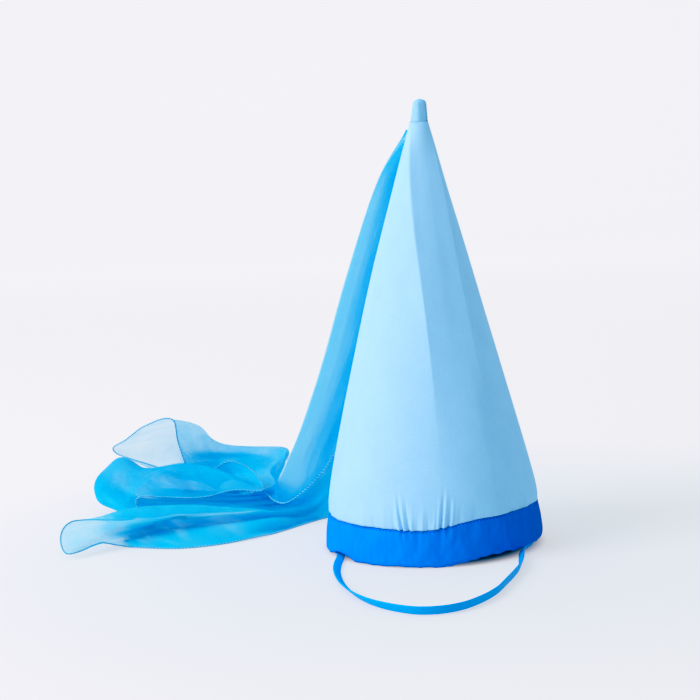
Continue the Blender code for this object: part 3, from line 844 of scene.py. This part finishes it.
def nub_radius(share, angle):
    """The nub: a rolled end of cloth, flat on its left, with a pleat down its right."""
    rounding = math.sqrt(max(0, 1 - max(0, (share - NUB_CURL) / (1 - NUB_CURL)) ** 2))
    radius = TIP_RADIUS * mix(1.04, TIP_TOP_SHARE + 0.06, share) * rounding
    pleat = math.cos(3 * angle + 0.6 + 0.5 * share)
    return radius * (1 + 0.05 * pleat + 0.02 * math.cos(7 * angle + 2 * share))


def make_nub(colours):
    """The nub over the cone's tip, a drum rounded at its upper end."""
    bm = bmesh.new()
    bmesh.ops.create_cone(bm, segments=64, radius1=1, radius2=1, depth=1, cap_ends=True)
    upright = [edge for edge in bm.edges if abs(edge.verts[0].co.z - edge.verts[1].co.z) > 0.5]
    bmesh.ops.subdivide_edges(bm, edges=upright, cuts=40)
    bmesh.ops.poke(bm, faces=[face for face in bm.faces if len(face.verts) > 4])
    low = CROWN_TOP - NUB_LAP
    for point in bm.verts:
        share = point.co.z + 0.5
        height = mix(low, HAT_HEIGHT, share)
        if point.co.to_2d().length < 0.5:
            point.co = around(0, 0, height, TIP_LEAN * share)
            continue
        angle = math.atan2(point.co.x, -point.co.y)
        past = max(0, share - NUB_CURL) / (1 - NUB_CURL)
        curled = share if past == 0 else mix(NUB_CURL, 1, math.sin(math.pi / 2 * past))
        height = mix(low, HAT_HEIGHT, curled)
        point.co = around(nub_radius(curled, angle), angle, height, TIP_LEAN * curled)
    bmesh.ops.recalc_face_normals(bm, faces=bm.faces[:])
    nub = object_from(bm, "gathered_nub", nub_material(colours.tip))
    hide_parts("tip_cap")
    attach(nub, BODY)
    return nub


class HENNIN_OT_nub(bpy.types.Operator):
    """Build the rounded nub at the tip"""

    bl_idname = "hennin.nub"
    bl_label = "Nub"

    def execute(self, context):
        make_nub(context.scene.hennin_colours)
        return {"FINISHED"}


def veil_place(left, back, up):
    return HAT_AXIS + Vector((-RIM_RADIUS - left * VEIL_REACH, back * VEIL_DEPTH, up * VEIL_PILE))


def gathered_point(across):
    """Where the cloth is sewn round the back of the crown's tip."""
    height = HAT_HEIGHT - VEIL_GATHER_DROP
    share = (height - BAND_HEIGHT) / (CROWN_TOP - BAND_HEIGHT)
    angle = math.radians(mix(-90, -200, across))
    shift = -CROWN_BOW * math.sin(math.pi * share)
    pleat = 0.0007 * (1 + math.cos(22 * math.pi * across))
    return around(crown_radius(share, angle) + FIT_GAP + pleat, angle, height, shift)


def hanging_point(across, step):
    """The folded bundle on its way from the tip to its foot on the floor."""
    folds = [Vector((fold.right, fold.back, 0)) for fold in BUNDLE]
    fold = spline(folds, table_step(BUNDLE, across))
    start = HAT_AXIS + Vector((-TIP_RADIUS, TIP_RADIUS, HAT_HEIGHT - VEIL_GATHER_DROP))
    foot = veil_place(*BUNDLE_FOOT)
    return Vector((
        mix(start.x, foot.x, step.left) + fold.x * VEIL_BUNDLE_WIDTH * step.width,
        mix(start.y, foot.y, step.back) + fold.y * VEIL_BUNDLE_DEPTH * step.depth,
        mix(start.z, foot.z, step.drop),
    ))


def veil_net(across):
    """The places that one thread of the veil runs through, from the tip to the hem."""
    places = [gathered_point(across)]
    places += [hanging_point(across, step) for step in HANGING]
    step = table_step(RUNS, across)
    for column in ("foot", "lie", "turn", "over", "hem"):
        places.append(spline([veil_place(*getattr(run, column)) for run in RUNS], step))
    return places


def veil_wrinkle(across, along):
    """How far the cloth stands out of its smooth folds: long soft waves and fine crumples."""
    hanging = 1 - ease(LYING_FROM, LYING_FULL, along)
    foot = math.exp(-((along - 0.50) / 0.06) ** 2)
    long_wave = noise.noise(Vector((across * 14, along * 2.5, 1)))
    ridges = noise.noise(Vector((across * 30, along * 3, 3)))
    crumple = noise.noise(Vector((across * 40, along * 9, 5)))
    soft = noise.noise(Vector((across * 14, along * 7, 9)))
    gather = ease(0.0, 0.06, along)
    down_fold = (along - FOLD_START[1]) / (FOLD_END[1] - FOLD_START[1])
    off_fold = (across - mix(FOLD_START[0], FOLD_END[0], down_fold)) / FOLD_WIDTH
    fold = FOLD_DEPTH * math.exp(-off_fold * off_fold)
    fold *= ease(0, 0.25, down_fold) * (1 - ease(0.85, 1, down_fold))
    return -fold + gather * (
        0.0008 * long_wave * hanging + 0.0018 * crumple * foot
        + (0.0022 * soft + 0.0006 * crumple + 0.0046 * ridges * (1 - ease(0.65, 0.95, along))) * (1 - hanging)
    )


def flat_place(across, along):
    """A point's place on the tapered cloth when it lies flat, in metres."""
    return (across - 0.5) * mix(VEIL_TOP_WIDTH, VEIL_FLAT_WIDTH, along), along * VEIL_FLAT_LENGTH


def make_veil(sizes, colours):
    """One flat sheet, laid point by point into the folds, and its rolled hem."""
    hang_steps, lie_steps, steps_across = 90, 130, 200
    steps_along = hang_steps + lie_steps
    bm = bmesh.new()
    bmesh.ops.create_grid(bm, x_segments=steps_along, y_segments=steps_across, size=0.5)
    nets = {}
    flat = {}
    for point in bm.verts:
        across, along = round(point.co.y + 0.5, 6), round(point.co.x + 0.5, 6)
        flat[point] = (across, along)
        if across not in nets:
            nets[across] = veil_net(across)
        net = nets[across]
        step = along * steps_along
        foot = 1 + len(HANGING)
        hanging = foot * min(1, step / hang_steps)
        lying = (len(net) - 1 - foot) * max(0, step - hang_steps) / lie_steps
        point.co = spline(net, hanging + lying)
    inner = [point for point in bm.verts if not point.is_boundary]
    for _ in range(6):
        bmesh.ops.smooth_vert(bm, verts=inner, factor=0.5, use_axis_x=True, use_axis_y=True, use_axis_z=True)
    bm.normal_update()
    floor = sizes.hem_radius + FIT_GAP
    moved = {point: point.co + point.normal * veil_wrinkle(*flat[point]) for point in bm.verts}
    for point, place in moved.items():
        point.co = Vector((place.x, place.y, max(place.z, floor)))
    give_uv(bm, lambda point: flat_place(*flat[point]))
    edges = {}
    for side, (test, order) in {
        "left_edge": (lambda at: at[0] == 0, 1),
        "right_edge": (lambda at: at[0] == 1, 1),
        "bottom_edge": (lambda at: at[1] == 1, 0),
    }.items():
        run = sorted((at[order], point.index, point.co.copy()) for point, at in flat.items() if test(at))
        edges[side] = [place for share, _, place in run if order == 0 or share > HEM_START]
    veil = object_from(bm, "chiffon_veil", chiffon_material(colours.chiffon))
    veil = with_wall(veil, sizes.veil_wall, 0)
    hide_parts("veil")
    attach(veil, BODY)
    hems = make_hem(edges, sizes, colours)
    return veil


def tube(name, points, radius, sides, material):
    """A round cord through points, as a mesh."""
    curve = bpy.data.curves.new(name, "CURVE")
    curve.dimensions = "3D"
    curve.bevel_depth = radius
    curve.bevel_resolution = sides
    curve.use_fill_caps = True
    line = curve.splines.new("POLY")
    line.points.add(len(points) - 1)
    for slot, place in zip(line.points, points):
        slot.co = (*place, 1)
    curve.materials.append(material)
    cord = bpy.data.objects.new(name, curve)
    bpy.context.scene.collection.objects.link(cord)
    cord = baked(cord)
    cord.data.shade_smooth()
    return cord


def make_hem(edges, sizes, colours):
    """The rolled hem along the side and bottom edges, and the thread that is serged round it."""
    outline = edges["left_edge"] + edges["bottom_edge"][1:] + edges["right_edge"][::-1][1:]
    roll = tube("rolled_hem", outline, sizes.hem_radius, 1, thread_material("hem_roll", colours.hem, 0.7))
    wound = []
    walked = 0
    side = Vector((0, 0, 1))
    for here, there in zip(outline, outline[1:]):
        along = (there - here).normalized()
        side = (side - along * side.dot(along)).normalized()
        other = along.cross(side)
        steps = max(1, round((there - here).length / SERGE_STEP))
        for step in range(steps):
            turn = 2 * math.pi * walked / SERGE_PITCH
            out = side * math.cos(turn) + other * math.sin(turn)
            wound.append(here.lerp(there, step / steps) + out * (sizes.hem_radius + SERGE_RADIUS / 2))
            walked += (there - here).length / steps
    wound = [Vector((place.x, place.y, max(place.z, SERGE_RADIUS + FIT_GAP))) for place in wound]
    serging = tube("hem_serging", wound, SERGE_RADIUS, 0, thread_material("serging", colours.serging, 0.6))
    for piece in (roll, serging):
        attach(piece, BODY)
    return [roll, serging]


class HENNIN_OT_veil(bpy.types.Operator):
    """Lay the chiffon veil and its hem"""

    bl_idname = "hennin.veil"
    bl_label = "Chiffon veil"

    def execute(self, context):
        make_veil(context.scene.hennin_sizes, context.scene.hennin_colours)
        return {"FINISHED"}


def make_strap(colours):
    """The flat elastic: a ribbon along the route, turned by its lean at each point."""
    route = [HAT_AXIS + Vector((point.x, point.y, point.z)) for point in STRAP_ROUTE]
    leans = [Vector((point.lean, 0, 0)) for point in STRAP_ROUTE]
    fine = [step / 20 for step in range(20 * (len(route) - 1) + 1)]
    places = [spline(route, at) for at in fine]
    length = sum((b - a).length for a, b in zip(places, places[1:]))
    spacing = length / round(length / STRAP_STEP)
    chosen = [(places[0], leans[0].x)]
    walked = 0
    for at, a, b in zip(fine[1:], places, places[1:]):
        walked += (b - a).length
        if walked >= spacing * len(chosen) - 1e-6:
            chosen.append((b, spline(leans, at).x))
    path = []
    for place, lean in chosen:
        turn = math.radians(lean)
        stands = STRAP_WIDTH / 2 * math.cos(turn) + STRAP_THICKNESS / 2 * math.sin(turn)
        path.append(Vector((place.x, place.y, max(place.z, stands + FIT_GAP))))
    curve = bpy.data.curves.new("elastic_strap", "CURVE")
    curve.dimensions = "3D"
    curve.twist_mode = "Z_UP"
    curve.extrude = (STRAP_WIDTH - STRAP_THICKNESS) / 2
    curve.bevel_depth = STRAP_THICKNESS / 2
    curve.bevel_resolution = 3
    curve.use_fill_caps = True
    line = curve.splines.new("POLY")
    line.points.add(len(path) - 1)
    for slot, place, (_, lean) in zip(line.points, path, chosen):
        slot.co = (*place, 1)
        slot.tilt = math.radians(lean)
    curve.materials.append(elastic_material(colours.elastic))
    strap = bpy.data.objects.new("elastic_strap", curve)
    bpy.context.scene.collection.objects.link(strap)
    strap = baked(strap)
    strap.data.shade_smooth()
    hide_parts("chin_strap")
    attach(strap, BODY)
    return strap


class HENNIN_OT_strap(bpy.types.Operator):
    """Lay the elastic chin strap"""

    bl_idname = "hennin.strap"
    bl_label = "Elastic strap"

    def execute(self, context):
        make_strap(context.scene.hennin_colours)
        return {"FINISHED"}


# The photographer's camera, from the hat's axis: its place, the point that it is aimed at and
# its roll, with the lens for a square picture on a 36 mm sensor
CAMERA_PLACE = Vector((0, -1.4621, 0.3350))
CAMERA_AIM = Vector((-0.0621, 0, 0.1602))
CAMERA_ROLL = math.radians(-2.41)
CAMERA_LENS = 94.2
FLOOR_SIZE = 12
BACKDROP_DISTANCE = 3.2
FILM_CURVES = (
    ((0.05, 0.006), (0.14, 0.11), (0.24, 0.23), (0.40, 0.47), (0.84, 0.88)),
    ((0.15, 0.14), (0.45, 0.50), (0.72, 0.78), (0.85, 0.88)),
    ((0.15, 0.20), (0.35, 0.41), (0.67, 0.72), (0.83, 0.87), (0.92, 0.94)),
)
# The paper's own tone, its glow near the camera and far off, which stands in for light from all round, and the
# painted shade that tints the glow near the hat
PAPER_TONE = (0.33, 0.33, 0.36)
PAPER_GLOW_NEAR = (0.550, 0.518, 0.490)
PAPER_GLOW_FAR = (0.690, 0.650, 0.635)
PAPER_PAINTED_SHADE = (0.80, 0.87, 0.92)


def make_camera():
    camera = bpy.data.cameras.new("camera")
    camera.lens = CAMERA_LENS
    camera.sensor_width = 36
    camera.sensor_fit = "HORIZONTAL"
    looking = bpy.data.objects.new("camera", camera)
    turn = (CAMERA_AIM - CAMERA_PLACE).to_track_quat("-Z", "Y").to_matrix().to_4x4()
    place = Matrix.Translation(HAT_AXIS + CAMERA_PLACE)
    looking.matrix_world = place @ turn @ Matrix.Rotation(CAMERA_ROLL, 4, "Z")
    bpy.context.scene.collection.objects.link(looking)
    bpy.context.scene.camera = looking


def paper_material():
    """White paper that glows in place of light from all round, less near the camera than far off, with a painted
    shade that tints the glow near the hat and a painted shadow where the glow is off under it; it still takes real
    shadows.
    """
    material, shader, add, tree = new_material("white_paper")
    shader.inputs["Base Color"].default_value = (*PAPER_TONE, 1)
    shader.inputs["Roughness"].default_value = 0.9
    shader.inputs["Specular IOR Level"].default_value = 0
    place = add("ShaderNodeTexCoord").outputs["Object"]
    depth = add("ShaderNodeSeparateXYZ", {"Vector": place}).outputs["Y"]
    far = ranged(add, depth, -0.5, 3.0)
    off_axis = add("ShaderNodeVectorMath", {0: place, 1: HAT_AXIS}, operation="DISTANCE").outputs["Value"]
    # Painted shade: near the hat the glow is tinted darker
    beyond = ranged(add, off_axis, 0.12, 0.55, kind="SMOOTHSTEP")
    glow = two_tones(add, far, PAPER_GLOW_NEAR, PAPER_GLOW_FAR)
    glow = tinted(add, glow, two_tones(add, beyond, PAPER_PAINTED_SHADE, (1, 1, 1)))
    tree.links.new(glow, shader.inputs["Emission Color"])
    # Painted shadow: under the hat's rim the glow is turned off
    clear = ranged(add, off_axis, 0.80 * RIM_RADIUS, 1.06 * RIM_RADIUS, kind="SMOOTHSTEP")
    tree.links.new(clear, shader.inputs["Emission Strength"])
    return material


def make_floor():
    """A seamless paper sweep: the floor, and its curve up behind the hat."""
    bm = bmesh.new()
    bmesh.ops.create_grid(bm, x_segments=1, y_segments=60, size=FLOOR_SIZE / 2)
    for point in bm.verts:
        past = point.co.y - BACKDROP_DISTANCE
        if past > 0:
            point.co.z = past * past * 0.9
    sweep = object_from(bm, "paper_sweep", paper_material())


def add_light(name, place, aim, size, power, colour):
    light = bpy.data.lights.new(name, "AREA")
    light.energy = power
    light.size = size
    light.color = colour
    lamp = bpy.data.objects.new(name, light)
    turn = (aim - place).to_track_quat("-Z", "Y").to_matrix().to_4x4()
    lamp.matrix_world = Matrix.Translation(place) @ turn
    bpy.context.scene.collection.objects.link(lamp)


def set_film_curves(view):
    """The camera's response: full blues lose their red, and bright tones turn paler."""
    view.use_curve_mapping = True
    for curve, places in zip(view.curve_mapping.curves, FILM_CURVES):
        for place in places:
            curve.points.new(*place)
    view.curve_mapping.update()


def make_stage():
    make_camera()
    make_floor()
    add_light("window", Vector((-1.9, -1.1, 1.5)), Vector((0, 0, 0.1)), 1.6, 50, (1, 0.88, 0.88))
    add_light("overhead", Vector((-0.2, 0.2, 2.4)), Vector((0, 0, 0)), 2.5, 10, (1, 1, 1))
    world = bpy.data.worlds.new("room")
    world.use_nodes = True
    background = world.node_tree.nodes["Background"]
    background.inputs["Color"].default_value = (0.48, 0.78, 1, 1)
    background.inputs["Strength"].default_value = 0.58
    scene = bpy.context.scene
    scene.world = world
    scene.view_settings.view_transform = "Standard"
    set_film_curves(scene.view_settings)
    scene.cycles.transparent_max_bounces = 48


class HENNIN_OT_stage(bpy.types.Operator):
    """Set up the camera, the lights and the paper sweep"""

    bl_idname = "hennin.stage"
    bl_label = "Stage"

    def execute(self, context):
        make_stage()
        return {"FINISHED"}


class HENNIN_PT_pieces(bpy.types.Panel):
    """The hat's pieces, in the order in which they are made"""

    bl_label = "Hennin"
    bl_idname = "HENNIN_PT_pieces"
    bl_space_type = "VIEW_3D"
    bl_region_type = "UI"
    bl_category = "Hennin"

    def draw(self, context):
        column = self.layout.column()
        for made_by in OPERATORS:
            column.operator(made_by.bl_idname)
        for group in (context.scene.hennin_sizes, context.scene.hennin_colours):
            for key in group.__annotations__:
                column.prop(group, key)


OPERATORS = (
    HENNIN_OT_stage,
    HENNIN_OT_crown,
    HENNIN_OT_band,
    HENNIN_OT_nub,
    HENNIN_OT_stitches,
    HENNIN_OT_veil,
    HENNIN_OT_strap,
)
CLASSES = (HenninSizes, HenninColours, *OPERATORS, HENNIN_PT_pieces)


def register():
    for kind in CLASSES:
        bpy.utils.register_class(kind)
    bpy.types.Scene.hennin_sizes = PointerProperty(type=HenninSizes)
    bpy.types.Scene.hennin_colours = PointerProperty(type=HenninColours)


def unregister():
    del bpy.types.Scene.hennin_colours
    del bpy.types.Scene.hennin_sizes
    for kind in reversed(CLASSES):
        bpy.utils.unregister_class(kind)


def main():
    register()
    bpy.ops.hennin.stage()
    bpy.ops.hennin.strap()
    bpy.ops.hennin.crown()
    bpy.ops.hennin.band()
    bpy.ops.hennin.nub()
    bpy.ops.hennin.stitches()
    bpy.ops.hennin.veil()


if __name__ == "__main__":
    main()
